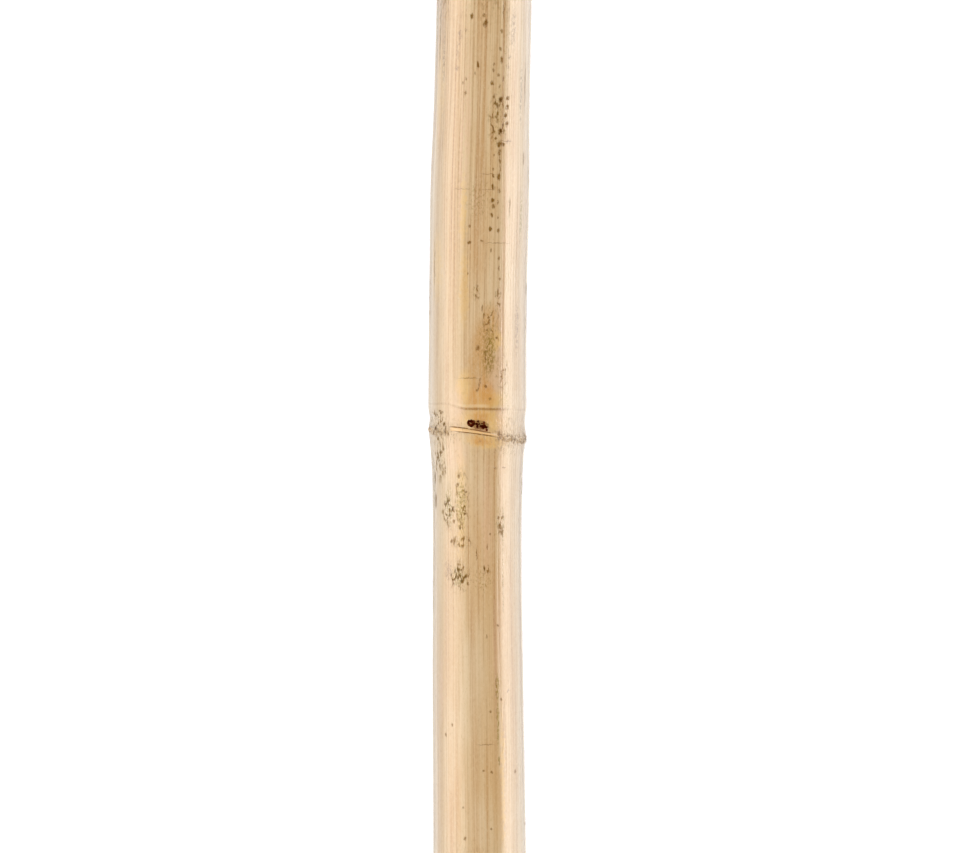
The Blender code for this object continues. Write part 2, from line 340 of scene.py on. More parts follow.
def widest(side):
    """How far the cane reaches to one side, measured where it swells."""
    places = [BUTT_Y + CANE_LENGTH * i / 3000 for i in range(3001)]
    return side * max(side * drift_at(y) + diameter_at(y) / 2 for y in places)


# The solid's bounding box is centred, so its drift is shifted by this much
DRIFT_SHIFT = -(widest(1) + widest(-1)) / 2


@lru_cache(maxsize=None)
def nearest_node(y):
    return min(CULM_NODES, key=lambda node: abs(node.scar_y - y))


@lru_cache(maxsize=None)
def lie_height(y):
    """The height of the cane's own line: each ridge stands on the ground, and each internode arches."""
    places = [node.scar_y + RIDGE_ABOVE_SCAR for node in CULM_NODES]
    heights = [node.ridge / 2 - REST_SINK for node in CULM_NODES]
    slopes = [(heights[i + 1] - heights[i]) / (places[i + 1] - places[i]) for i in (0, 1)]
    if y < places[0]:
        return heights[0] + slopes[0] * (y - places[0])
    if y > places[-1]:
        beyond = (y - places[-1]) / (TIP_Y - places[-1])
        return heights[-1] + slopes[-1] * (y - places[-1]) + INTERNODE_ARCH * beyond
    i = 0 if y < places[1] else 1
    share = (y - places[i]) / (places[i + 1] - places[i])
    return heights[i] + slopes[i] * (y - places[i]) + INTERNODE_ARCH * math.sin(math.pi * share)


def eased(value, low, high):
    """0 at low, 1 at high, with an easy start and end."""
    share = min(max((value - low) / (high - low), 0.0), 1.0)
    return share * share * (3 - 2 * share)


@lru_cache(maxsize=None)
def oval_at(y):
    """Depth over width: round at a node, slightly flatter between nodes."""
    return 1 + (INTERNODE_OVAL - 1) * eased(abs(nearest_node(y).scar_y - y), OVAL_START, OVAL_FULL)


def angle_between(a, b):
    return (a - b + math.pi) % (2 * math.pi) - math.pi


def wall_at(y):
    return BUTT_WALL + (TIP_WALL - BUTT_WALL) * (y - BUTT_Y) / CANE_LENGTH


def bore_radius(y):
    """The inner wall ignores the scars and ridges outside."""
    span = [y - 2 * NECK_LENGTH * share for share in (-1, -0.5, 0, 0.5, 1)]
    return min(diameter_at(place) for place in span) / 2 - wall_at(y)


def flat_side(y, angle):
    """How far the side above a bud is pressed in, fading towards the next node."""
    below = [node for node in CULM_NODES if node.scar_y + INTERNODE_ABOVE_SCAR < y]
    if not below:
        return 0.0
    node = below[-1]
    across = angle_between(angle, node.bud_angle) / FLAT_SIDE_HALF_ANGLE
    if abs(across) >= 1:
        return 0.0
    along = (y - node.scar_y - INTERNODE_ABOVE_SCAR) / FLAT_SIDE_LENGTH
    fade = min(along * FLAT_SIDE_QUICK_START, 1.0) * max(1 - along, 0.0)
    return FLAT_SIDE_DEPTH * fade * (1 + math.cos(math.pi * across)) / 2


def bud_rise(y, angle, radius):
    """The rough low swelling that a bud left, just above the sheath scar."""
    node = nearest_node(y)
    across = angle_between(angle, node.bud_angle) * radius / BUD_HALF_WIDTH
    along = (y - node.scar_y - BUD_ABOVE_SCAR) / BUD_HALF_HEIGHT
    inside = 1 - across * across - along * along
    if inside <= 0:
        return 0.0
    rough = noise.noise(Vector((across * 5, along * 4, node.scar_y * 90)))
    return math.sqrt(inside) * (BUD_RISE + BUD_ROUGHNESS * rough)


def bump_at(offset, centre, half_width):
    """A rounded bump of height 1 round centre."""
    reach = (offset - centre) / half_width
    return math.exp(-reach * reach)


@lru_cache(maxsize=None)
def right_of_bud(node, angle):
    """Millimetres round the skin from a node's bud, to the right for one who looks at the bud."""
    return angle_between(node.bud_angle, angle) * SKIN_RADIUS / MM


@lru_cache(maxsize=None)
def lip_strength(node, angle):
    """How whole the lip of a sheath scar is at an angle: 1 unbroken, towards 0 where it is torn off."""
    torn = noise.noise(Vector((math.cos(angle) * 3, math.sin(angle) * 3, node.scar_y * 70)))
    side = right_of_bud(node, angle)
    near = eased(side, LIP_FROM - 2, LIP_FROM) * (1 - eased(side, LIP_TO, LIP_TO + 3))
    far = eased(abs(side), 17, 25) * eased(torn, -0.1, 0.15)
    return max(near, far)


@lru_cache(maxsize=None)
def lip_half_width(node, angle):
    """Half the width of the lip in millimetres: it thins out to the right."""
    share = eased(right_of_bud(node, angle), LIP_FROM, LIP_TO)
    return LIP_HALF_WIDTHS[0] + (LIP_HALF_WIDTHS[1] - LIP_HALF_WIDTHS[0]) * share


@lru_cache(maxsize=None)
def scar_wander(node, angle):
    """How far the scar lies above its leaning ring."""
    turn = angle_between(node.bud_angle, angle)
    return sum(rise * bump_at(turn, centre, spread) for centre, spread, rise in SCAR_WANDER)


def scar_relief(y, angle):
    """The lip of the sheath scar with a groove on either side, and the crease under the ridge."""
    node = nearest_node(y)
    offset = (y - node.scar_y) / MM
    if not -6 < offset < 16:
        return 0.0
    across, up = math.cos(angle) * 14, math.sin(angle) * 14 + node.scar_y * 50
    ragged = noise.noise(Vector((across, offset * 0.8, up)))
    whole = lip_strength(node, angle)
    half = lip_half_width(node, angle)
    rise = LIP_RISE * whole * bump_at(offset, 0.0, half * 0.9)
    rise -= GROOVE_DEPTH * whole * bump_at(offset, half + 0.3, 0.3)
    rise -= GROOVE_DEPTH * (0.4 + whole) * bump_at(offset, -half - 0.35, 0.3)
    rise += TORN_RELIEF * (1 - whole) * ragged * bump_at(offset, -0.5, 1.6)
    side = right_of_bud(node, angle)
    step = eased(side, *CREASE_STEP)
    crease = CREASE_LEFT + (CREASE_RIGHT - CREASE_LEFT) * step
    fade = 0.4 + 0.6 * eased(side, -9, -5) * (1 - eased(side, 9, 14))
    edge = eased(side, -9, -6) * (1 - eased(side, 2, 6))
    rise -= CREASE_DEPTH * fade * bump_at(offset, crease, 0.55)
    rise += CREASE_EDGE_RISE * edge * bump_at(offset, crease + CREASE_EDGE_ABOVE, 0.7)
    return (rise + 0.05 * ragged * bump_at(offset, 0.0, 4)) * MM


def skin_relief(y, angle):
    """Slow unevenness of the grown skin, longer along the cane than round it."""
    round_it = Vector((math.cos(angle), math.sin(angle), 0.0))
    slow = noise.noise(Vector((round_it.x * 1.6, round_it.y * 1.6, y * 22)))
    quick = noise.noise(Vector((round_it.x * 5, round_it.y * 5, y * 60 + 7)))
    return SLOW_RELIEF * slow + QUICK_RELIEF * quick


def grown_place(x, y, z, skin):
    """Moves a point of the straight turned shape to its place on the grown cane."""
    radius = math.hypot(x, z)
    angle = math.atan2(z, x)
    oval = 1.0
    if skin:
        radius += bud_rise(y, angle, radius) - flat_side(y, angle)
        radius += scar_relief(y, angle) + skin_relief(y, angle)
        oval = oval_at(y)
    side = radius * math.cos(angle)
    up = radius * math.sin(angle) * oval
    node = nearest_node(y)
    rise = node.scar_lean * side + (scar_wander(node, angle) if skin else 0.0)
    place_y = y + rise / (1 + ((y - node.scar_y) / SCAR_LEAN_REACH) ** 4)
    return Vector((DRIFT_SHIFT + drift_at(y) + side, place_y, max(lie_height(y) + up, 0.0)))


def ring_places():
    """Places of the outer rings: closest over each scar, and wider where the photograph doesn't reach."""
    seen_from, seen_to = MIDDLE_NODE.scar_y - SEEN_REACH[0], MIDDLE_NODE.scar_y + SEEN_REACH[1]
    place = BUTT_Y + RIM_BEVEL
    last = TIP_Y - RIM_BEVEL
    places = []
    while place < last:
        places.append(place)
        offset = place - nearest_node(place).scar_y
        step = SEEN_STEP if seen_from < place < seen_to else FAR_STEP
        if -NODE_REACH[0] < offset < NODE_REACH[1]:
            step = NODE_STEP
        if -SCAR_REACH[0] < offset < SCAR_REACH[1]:
            step = SCAR_STEP
        place += step
    return [*places, last]


def outer_profile():
    """(radius, y) up the outside, with a small bevel at each cut rim."""
    profile = [(diameter_at(y) / 2, y) for y in ring_places()]
    butt = (BUTT_DIAMETER / 2 - RIM_BEVEL, BUTT_Y)
    tip = (TIP_DIAMETER / 2 - RIM_BEVEL, TIP_Y)
    return [butt, *profile, tip]


def chamber_side(low, high):
    """Points up a chamber's straight wall, the upper end included."""
    gaps = max(2, round((high - low) / (60 * MM)))
    places = [low + (high - low) * i / gaps for i in range(1, gaps + 1)]
    return [(bore_radius(y), y) for y in places]


def chamber_end(face, way):
    """The rounded end of a chamber, from its wall in to the vent."""
    wall = bore_radius(face + way * CHAMBER_END)
    points = []
    for i in range(1 if way < 0 else 0, CHAMBER_END_POINTS + 1):
        turn = math.pi / 2 * i / CHAMBER_END_POINTS
        radius = VENT_RADIUS + (wall - VENT_RADIUS) * math.cos(turn)
        points.append((radius, face + way * CHAMBER_END * (1 - math.sin(turn))))
    return points


def inner_profile():
    """(radius, y) up the inside: chambers with rounded ends, and a vent through each diaphragm."""
    profile = [(bore_radius(BUTT_Y), BUTT_Y)]
    start = BUTT_Y
    for node in CULM_NODES:
        middle = node.scar_y + DIAPHRAGM_ABOVE_SCAR
        low, high = middle - DIAPHRAGM_THICKNESS / 2, middle + DIAPHRAGM_THICKNESS / 2
        profile += chamber_side(start, low - CHAMBER_END)
        profile += chamber_end(low, -1)
        profile += reversed(chamber_end(high, 1))
        start = high + CHAMBER_END
    profile += chamber_side(start, TIP_Y)
    return profile


class Value:
    """One socket of a material, with operators that add the Math nodes for them."""

    def __init__(self, paint, socket):
        self.paint = paint
        self.socket = socket

    def math(self, operation, *others):
        feeds = {i: other for i, other in enumerate((self, *others))}
        return self.paint.node("ShaderNodeMath", feeds, operation=operation)

    def __add__(self, other):
        return self.math("ADD", other)

    def __sub__(self, other):
        return self.math("SUBTRACT", other)

    def __rsub__(self, other):
        return self.paint.node("ShaderNodeMath", {0: other, 1: self}, operation="SUBTRACT")

    def __mul__(self, other):
        return self.math("MULTIPLY", other)

    __radd__ = __add__
    __rmul__ = __mul__

    def least(self, other):
        return self.math("MINIMUM", other)

    def most(self, other):
        return self.math("MAXIMUM", other)

    def size(self):
        return self.math("ABSOLUTE")

    def eased(self, low, high):
        """0 at low, 1 at high, eased between; low may be the larger."""
        if low > high:
            return 1 - self.eased(high, low)
        feeds = {"Value": self, "From Min": low, "From Max": high}
        return self.paint.node("ShaderNodeMapRange", feeds, interpolation_type="SMOOTHSTEP")


class Paint:
    """A material under construction."""

    def __init__(self, name):
        self.material = bpy.data.materials.new(name)
        self.material.use_nodes = True
        self.tree = self.material.node_tree
        self.shader = self.tree.nodes["Principled BSDF"]

    def node(self, kind, feeds=None, output=0, stops=None, **settings):
        """Adds a node: its settings first, then the values or links of its sockets."""
        made = self.tree.nodes.new(kind)
        for name, setting in settings.items():
            setattr(made, name, setting)
        if stops:
            for spare in list(made.color_ramp.elements)[1:]:
                made.color_ramp.elements.remove(spare)
            made.color_ramp.elements[0].position = stops[0][0]
            made.color_ramp.elements[0].color = stops[0][1]
            for place, colour in stops[1:]:
                made.color_ramp.elements.new(place).color = colour
        for name, value in (feeds or {}).items():
            self.feed(made.inputs[name], value)
        return Value(self, made.outputs[output])

    def feed(self, socket, value):
        if isinstance(value, Value):
            self.tree.links.new(value.socket, socket)
        else:
            socket.default_value = value

    def attribute(self, name):
        """A vector that the mesh carries."""
        return self.node("ShaderNodeAttribute", output="Vector", attribute_name=name)

    def parts(self, vector):
        split = self.node("ShaderNodeSeparateXYZ", {"Vector": vector})
        return [Value(self, socket) for socket in split.socket.node.outputs]

    def scaled(self, vector, scale, shift=(0, 0, 0)):
        feeds = {0: vector, 1: scale, 2: shift}
        return self.node("ShaderNodeVectorMath", feeds, operation="MULTIPLY_ADD")

    def added(self, vector, other):
        return self.node("ShaderNodeVectorMath", {0: vector, 1: other}, operation="ADD")

    def length(self, vector):
        return self.node("ShaderNodeVectorMath", {0: vector}, output="Value", operation="LENGTH")

    def noise(self, vector, detail=2.0, rough=0.5, output="Fac"):
        feeds = {"Vector": vector, "Scale": 1.0, "Detail": detail, "Roughness": rough}
        return self.node("ShaderNodeTexNoise", feeds, output=output)

    def cells(self, vector, output="Distance"):
        return self.node("ShaderNodeTexVoronoi", {"Vector": vector, "Scale": 1.0}, output=output)

    def mix(self, factor, below, above, blend_type="MIX"):
        """Two colours mixed: sockets 6 and 7 of a Mix node are its colours."""
        feeds = {0: factor, 6: below, 7: above}
        return self.node("ShaderNodeMix", feeds, output=2, data_type="RGBA", blend_type=blend_type)

    def tinted(self, factor, colour, tint):
        """A colour multiplied by a tint, which keeps the grain below it."""
        return self.mix(factor, colour, tint, blend_type="MULTIPLY")

    def bump(self, height):
        """A relief from a height in millimetres."""
        return self.node("ShaderNodeBump", {"Height": height, "Strength": 1.0, "Distance": MM})

    def finish(self, **sockets):
        for name, value in sockets.items():
            self.feed(self.shader.inputs[name.replace("_", " ")], value)
        return self.material

    def dull(self, share, colour, normal):
        """Takes the shine away where share is 1, by fading to a shader that has none."""
        feeds = {"Base Color": colour, "Normal": normal, "Roughness": 1.0, "Specular IOR Level": 0.0}
        matte = self.node("ShaderNodeBsdfPrincipled", feeds)
        shiny = Value(self, self.shader.outputs[0])
        mixed = self.node("ShaderNodeMixShader", {0: share, 1: shiny, 2: matte})
        self.feed(self.tree.nodes["Material Output"].inputs["Surface"], mixed)


def tone(red, green, blue):
    """A colour from its 0 to 255 display values."""
    shares = [value / 255 for value in (red, green, blue)]
    return (*[s / 12.92 if s <= 0.04045 else ((s + 0.055) / 1.055) ** 2.4 for s in shares], 1.0)


# The camera looks straight down, with the scar at its pixel of the photograph
FIELD_WIDTH = PHOTO_SIZE[0] * PIXEL
CAMERA_DISTANCE = FIELD_WIDTH * LENS / SENSOR
AXIS_HEIGHT = lie_height(MIDDLE_NODE.scar_y)
CAMERA_X = DRIFT_SHIFT + MIDDLE_NODE.drift + (PHOTO_SIZE[0] / 2 - SCAR_PIXEL[0]) * PIXEL
CAMERA_Y = MIDDLE_NODE.scar_y + (SCAR_PIXEL[1] - PHOTO_SIZE[1] / 2) * PIXEL


def on_skin(column, row):
    """A photograph's pixel on the skin: millimetres round from the top line, and above the middle scar."""
    turn = 0.0
    for _ in range(4):
        nearer = CAMERA_DISTANCE / (CAMERA_DISTANCE - SKIN_RADIUS * math.cos(turn))
        y = CAMERA_Y + (PHOTO_SIZE[1] / 2 - row) * PIXEL / nearer
        x = CAMERA_X + (column - PHOTO_SIZE[0] / 2) * PIXEL / nearer
        across = (x - DRIFT_SHIFT - drift_at(y)) / (diameter_at(y) / 2)
        turn = math.asin(min(max(across, -0.995), 0.995))
    return turn * SKIN_RADIUS / MM, (y - MIDDLE_NODE.scar_y) / MM


def on_marks(paint, place, spots):
    """The distance, in half sizes, to the nearest spot (around, above, half width, half height)."""
    nearest = None
    for around, above, half_width, half_height in spots:
        scale = (1 / half_width, 1 / half_height, 0)
        reach = paint.length(paint.scaled(place, scale, (-around / half_width, -above / half_height, 0)))
        nearest = reach if nearest is None else nearest.least(reach)
    return nearest


def seen_marks(paint, place, seen):
    """The same for marks given in the photograph's pixels: column, row, width and height."""
    spots = []
    for column, row, width, height in seen:
        around, above = on_skin(column, row)
        slant = max(math.cos(around * MM / SKIN_RADIUS), 0.3)
        spots.append((around, above, width * PIXEL / MM / 2 / slant, height * PIXEL / MM / 2))
    return on_marks(paint, place, spots)


# The skin's colours
CREAM = tone(209, 177, 130)
STRAW = tone(205, 167, 117)
WAX = tone(216, 190, 150)
BROWN_GRAIN = tone(190, 142, 86)
# Pale grain, and also the painted highlight along the upper edge of the crease
PALE_GRAIN_AND_HIGHLIGHT = tone(230, 200, 152)
AMBER = tone(200, 136, 56)
HONEY = tone(226, 182, 106)
OCHRE = tone(196, 146, 80)
ROSE = tone(224, 180, 146)
FRINGE_BROWN = tone(150, 92, 62)
LIP_TAN = tone(236, 188, 122)
BUD_STAIN = tone(90, 34, 4)

# Tints that the skin's colour is multiplied by
DARK_GRAIN = tone(222, 198, 162)
OLIVE = tone(190, 188, 108)
SOOT = tone(160, 136, 78)
TRACK_BROWN = tone(164, 142, 76)
SMUDGE = tone(188, 176, 160)
GRIME = tone(204, 188, 150)
# Painted shade in the crease under the ridge
CREASE_SHADE = tone(200, 178, 128)
# Painted shade in the grooves beside the scar's lip
LIP_SHADE = tone(168, 140, 88)

# Colours of the cut ends, the chambers, the fibres and the buds
SAWN_CREAM = tone(226, 202, 160)
SAWN_TAN = tone(190, 150, 98)
SAWN_DOTS = tone(112, 74, 40)
SAWN_SMEAR = tone(150, 122, 84)
LINING_CREAM = tone(234, 216, 178)
LINING_TAN = tone(212, 184, 138)
LINING_FLAKES = tone(190, 158, 112)
FIBRE_STRAW = tone(214, 182, 132)
FIBRE_BROWN = tone(122, 96, 62)
BUD_MAROON = tone(58, 8, 0)
BUD_BROWN = tone(112, 52, 22)


def thread(value, width):
    """Thin wandering lines: where a slow noise crosses its middle."""
    return (value - 0.5).size().eased(width, width * 0.25)


def grained(paint, straight, place):
    """The skin's lengthwise grain: its colour, its relief in millimetres, and the clouds of wax on it."""
    bold = 0.5 + paint.parts(place)[1].eased(5, 80) * 0.5
    broad = paint.noise(paint.scaled(straight, (0.16, 0.009, 0.16), (9, 0, 5)), detail=2.0)
    cloud = paint.noise(paint.scaled(straight, (0.07, 0.022, 0.07), (2, 7, 1)), detail=3.0)
    coarse = paint.noise(paint.scaled(straight, (0.62, 0.006, 0.62), (3, 0, 0)), detail=2.0, rough=0.6)
    fine = paint.noise(paint.scaled(straight, (1.7, 0.012, 1.7)), detail=2.0, rough=0.6)
    seam = thread(paint.noise(paint.scaled(straight, (0.5, 0.004, 0.5), (0, 0, 31)), detail=1.0), 0.04)
    colour = paint.mix(broad.eased(0.36, 0.66), CREAM, STRAW)
    colour = paint.mix(cloud.eased(0.45, 0.66) * 0.6, colour, WAX)
    colour = paint.mix(coarse.eased(0.5, 0.68) * 0.2, colour, BROWN_GRAIN)
    colour = paint.mix(coarse.eased(0.48, 0.34) * 0.15, colour, WAX)
    colour = paint.tinted(fine.eased(0.48, 0.62) * bold * 0.6, colour, DARK_GRAIN)
    colour = paint.mix(fine.eased(0.48, 0.36) * bold * 0.25, colour, PALE_GRAIN_AND_HIGHLIGHT)
    colour = paint.tinted(seam * fine.eased(0.3, 0.6) * 0.5, colour, DARK_GRAIN)
    height = fine * -0.016 + coarse * -0.006 + seam * -0.02
    return colour, height, cloud


def stained(paint, colour, place, node_place, waver, streak):
    """Stains: amber and honey round each node, and the patches seen along the cane; the tan patches are
    partly real tan blotches and partly painted shade down the top middle of the cane.
    """
    near = paint.added(place, paint.scaled(waver, (4.0, 7.0, 0), (-2.0, -3.5, 0)))
    near_node = paint.added(node_place, paint.scaled(waver, (3.4, 4.4, 0), (-1.7, -2.2, 0)))
    golden = seen_marks(paint, near, GOLDEN_PATCHES).eased(1.3, 0.4)
    colour = paint.mix(golden * 0.5, colour, HONEY)
    # Tan blotches, which also paint shade down the top middle of the cane
    tan_and_shade = seen_marks(paint, near, TAN_AND_SHADE_PATCHES).eased(1.2, 0.3)
    colour = paint.mix(tan_and_shade * (0.04 + streak * 0.28), colour, OCHRE)
    pink = seen_marks(paint, near, PINK_STREAKS).eased(1.3, 0.4)
    colour = paint.mix(pink * 0.3, colour, ROSE)
    layers = (
        (HONEY_STAINS, HONEY, 0.8, 0.5), (OCHRE_STAINS, OCHRE, 0.8, 0.4),
        (AMBER_STAINS, AMBER, 0.75, 0.2), (ROSY_STAINS, ROSE, 0.35, 0.4),
    )
    for spots, stain, strength, core in layers:
        covered = on_marks(paint, near_node, spots).eased(1.3, core) * (0.55 + streak * 0.45)
        colour = paint.mix(covered * strength, colour, stain)
    return colour


def specked(paint, colour, straight, place, mottle, waver, grit):
    """Small marks: worm tracks, soot spots, olive and grey smears, and hair cracks."""
    near = paint.added(place, paint.scaled(waver, (1.5, 1.5, 0), (-0.75, -0.75, 0)))
    around, above = paint.parts(place)[:2]
    beyond = above.size().eased(140, 170).most(around.size().eased(20, 27))
    patches = paint.noise(paint.scaled(straight, (0.06, 0.03, 0.06), (7, 1, 3)), detail=1.0)
    scuffed = seen_marks(paint, near, SCUFFS).eased(1.2, 0.5).most(beyond * patches.eased(0.56, 0.66))
    track = thread(paint.noise(paint.scaled(straight, (0.4, 0.19, 0.4), (0, 11, 0)), detail=2.0), 0.07)
    broken = paint.noise(paint.scaled(straight, (0.8, 0.34, 0.8), (1, 5, 2)), detail=1.0)
    tracks = track * scuffed * broken.eased(0.42, 0.52)
    colour = paint.tinted(tracks * 0.85, colour, TRACK_BROWN)
    flecks = (mottle * 0.7 + grit * 0.3).eased(0.5, 0.6)
    speckled = seen_marks(paint, near, SPECKLED_PATCHES).eased(1.2, 0.3).most(scuffed) * flecks
    colour = paint.tinted(speckled * 0.45, colour, OLIVE)
    olive = seen_marks(paint, near, OLIVE_STAINS).eased(1.25, 0.4) * mottle.eased(0.35, 0.6)
    colour = paint.tinted(olive * 0.9, colour, OLIVE)
    grey = seen_marks(paint, near, GREY_SMUDGES).eased(1.3, 0.3) * mottle.eased(0.38, 0.6)
    colour = paint.tinted(grey * 0.8, colour, SMUDGE)
    hair = seen_marks(paint, near, HAIRLINES).eased(1.4, 0.5)
    column = paint.noise(paint.scaled(straight, (0.14, 0.008, 0.14), (21, 0, 4)), detail=1.0)
    stipple = paint.scaled(straight, (0.55, 0.24, 0.55), (5, 3, 8))
    speck = paint.cells(stipple).eased(0.3, 0.16)
    chance = paint.parts(paint.cells(stipple, output="Color"))[0]
    specks = beyond * speck * chance.eased(0.8, 0.86) * column.eased(0.5, 0.66)
    bold = seen_marks(paint, near, BOLD_SPOTS)
    mild = seen_marks(paint, near, MILD_SPOTS)
    spots = bold.eased(1.3, 0.5).most(mild.eased(1.4, 0.5) * 0.8) * (0.5 + mottle.eased(0.35, 0.55) * 0.5)
    soot = spots.most(specks * 0.6).most(hair * 0.55)
    return paint.tinted(soot, colour, SOOT), soot.most(tracks)


def scarred(paint, colour, node_place, mottle):
    """The sheath scar: its pale lip between two dark lines of painted shade in its grooves, torn grime
    beside it, and the crease above, with painted shade in it and a painted highlight along its upper edge.
    """
    around, above, whole = paint.parts(node_place)
    half = LIP_HALF_WIDTHS[0] + around.eased(LIP_FROM, LIP_TO) * (LIP_HALF_WIDTHS[1] - LIP_HALF_WIDTHS[0])
    lip = (above.size() - half).eased(0.08, -0.12) * whole
    upper = (above - half - 0.14).size().eased(0.3, 0.06) * whole * around.eased(5.5, 4)
    lower = (above + half + 0.14).size().eased(0.3, 0.06) * whole * around.eased(-9, -6)
    lines = upper.most(lower)
    torn = above.size().eased(3.4, 0.6) * (1 - whole) * mottle.eased(0.42, 0.6)
    dirt = above.size().eased(9, 1) * mottle.eased(0.5, 0.68)
    from_crease = above - CREASE_LEFT - around.eased(*CREASE_STEP) * (CREASE_RIGHT - CREASE_LEFT)
    crease_shade = from_crease.size().eased(0.7, 0.1) * (0.3 + around.eased(-8, -4) * around.eased(12, 8) * 0.7)
    # Where the painted highlight runs along the crease's upper edge
    edge_highlight = (from_crease - CREASE_EDGE_ABOVE).size().eased(0.8, 0.2)
    edge_highlight = edge_highlight * around.eased(-9, -6) * around.eased(5, 2)
    colour = paint.tinted(dirt * 0.5, colour, GRIME)
    colour = paint.tinted(torn * (0.5 + around.eased(2, 9) * 0.5), colour, GRIME)
    # Painted highlight along the crease's upper edge
    colour = paint.mix(edge_highlight * 0.4, colour, PALE_GRAIN_AND_HIGHLIGHT)
    # Painted shade along the crease under the ridge
    colour = paint.tinted(crease_shade * mottle.eased(0.2, 0.5) * 0.9, colour, CREASE_SHADE)
    colour = paint.mix(lip * 0.85, colour, LIP_TAN)
    # Painted shade in the grooves either side of the lip
    colour = paint.tinted(lines * (0.5 + mottle.eased(0.35, 0.55) * 0.5), colour, LIP_SHADE)
    return colour, lines, torn.most(dirt)


def skin_material():
    """Dry waxy culm skin."""
    paint = Paint("dry_culm_skin")
    straight = paint.attribute("straight")
    place = paint.attribute("skin_place")
    node_place = paint.attribute("node_place")
    waver = paint.noise(paint.scaled(straight, (0.8, 0.5, 0.8)), detail=3.0, rough=0.6, output="Color")
    mottle = paint.noise(paint.scaled(straight, (1.7, 0.8, 1.7)), detail=4.0, rough=0.7)

    grit = paint.noise(paint.scaled(straight, (2.6, 1.8, 2.6), (6, 6, 0)), detail=2.0)
    colour, height, cloud = grained(paint, straight, place)
    streak = paint.noise(paint.scaled(straight, (0.9, 0.035, 0.9), (0, 5, 0)), detail=2.0).eased(0.36, 0.58)
    colour = stained(paint, colour, place, node_place, waver, streak)
    colour, lines, grime = scarred(paint, colour, node_place, mottle)
    colour, soot = specked(paint, colour, straight, place, mottle, waver, grit)
    colour = paint.tinted(mottle.eased(0.52, 0.8) * 0.5, colour, GRIME)
    colour = paint.mix(mottle.eased(0.48, 0.3) * 0.4, colour, WAX)
    bud = (on_marks(paint, node_place, BUD_MARK) + mottle * 0.9).eased(1.5, 1.1)
    fringe = on_marks(paint, node_place, FRINGE_MARK).eased(1.2, 0.6) * grit.eased(0.35, 0.6)
    colour = paint.mix(fringe * 0.7, colour, FRINGE_BROWN)
    colour = paint.mix(bud * 0.6, colour, BUD_STAIN)

    height = height + mottle * 0.03 - soot * 0.04 - lines * 0.1 + grime * mottle * 0.08
    gloss = 0.2 + cloud * 0.1 + grime * 0.1
    normal = paint.bump(height)
    paint.dull(soot.most(bud).most(lines * 0.7).most(grime * 0.4) * 0.9, colour, normal)
    return paint.finish(Base_Color=colour, Roughness=gloss, Normal=normal, IOR=1.5)


def sawn_material():
    """Sawn end grain: dark vascular dots, crowded towards the skin, and faint saw lines."""
    paint = Paint("sawn_culm_end")
    spot = paint.node("ShaderNodeTexCoord", output="Object")
    depth = paint.parts(paint.attribute("wall_place"))[0]
    flat = paint.scaled(spot, (1 / MM, 0, 1 / MM))
    coarse = paint.cells(paint.scaled(flat, (1.1, 0, 1.1))).eased(0.42, 0.22)
    close = paint.cells(paint.scaled(flat, (2.2, 0, 2.2))).eased(0.5, 0.25)
    outer = depth.eased(0.45, 0.9)
    dots = coarse * (1 - outer) + close * outer
    saw = paint.noise(paint.scaled(flat, (0.25, 0, 3.2)), detail=2.0)
    colour = paint.mix(outer, SAWN_CREAM, SAWN_TAN)
    colour = paint.mix(dots * 0.75, colour, SAWN_DOTS)
    colour = paint.mix(saw.eased(0.5, 0.8) * 0.3, colour, SAWN_SMEAR)
    normal = paint.bump(saw * 0.08 - dots * 0.06)
    return paint.finish(Base_Color=colour, Roughness=0.75, Normal=normal)


def chamber_material():
    """The pale papery lining of the chambers."""
    paint = Paint("culm_chamber_lining")
    straight = paint.attribute("straight")
    streak = paint.noise(paint.scaled(straight, (0.7, 0.03, 0.7)), detail=3.0)
    flake = paint.noise(paint.scaled(straight, (0.5, 0.4, 0.5), (4, 4, 4)), detail=4.0)
    colour = paint.mix(streak.eased(0.35, 0.7), LINING_CREAM, LINING_TAN)
    colour = paint.mix(flake.eased(0.55, 0.75) * 0.5, colour, LINING_FLAKES)
    normal = paint.bump(flake * 0.15 + streak * 0.1)
    return paint.finish(Base_Color=colour, Roughness=0.8, Normal=normal)


def fibre_material():
    """Frayed sheath fibres, straw to grey brown."""
    paint = Paint("sheath_fibre")
    spot = paint.node("ShaderNodeTexCoord", output="Object")
    patch = paint.noise(paint.scaled(spot, (700, 300, 700)), detail=2.0)
    colour = paint.mix(patch.eased(0.35, 0.65), FIBRE_STRAW, FIBRE_BROWN)
    return paint.finish(Base_Color=colour, Roughness=0.8)


def bud_material():
    """The dead bud's scales: maroon to black, dry and rough."""
    paint = Paint("dead_bud")
    spot = paint.node("ShaderNodeTexCoord", output="Object")
    patch = paint.noise(paint.scaled(spot, (900, 900, 900)), detail=3.0)
    colour = paint.mix(patch.eased(0.45, 0.7), BUD_MAROON, BUD_BROWN)
    normal = paint.bump(patch * 0.2)
    return paint.finish(Base_Color=colour, Roughness=0.9, Specular_IOR_Level=0.0, Normal=normal)


def linked(name, data):
    obj = bpy.data.objects.new(name, data)
    bpy.context.scene.collection.objects.link(obj)
    return obj


def finished(name, bm, *materials):
    """The object that a bmesh becomes, with its materials."""
    mesh = bpy.data.meshes.new(name)
    bm.to_mesh(mesh)
    bm.free()
    for material in materials:
        mesh.materials.append(material)
    return linked(name, mesh)


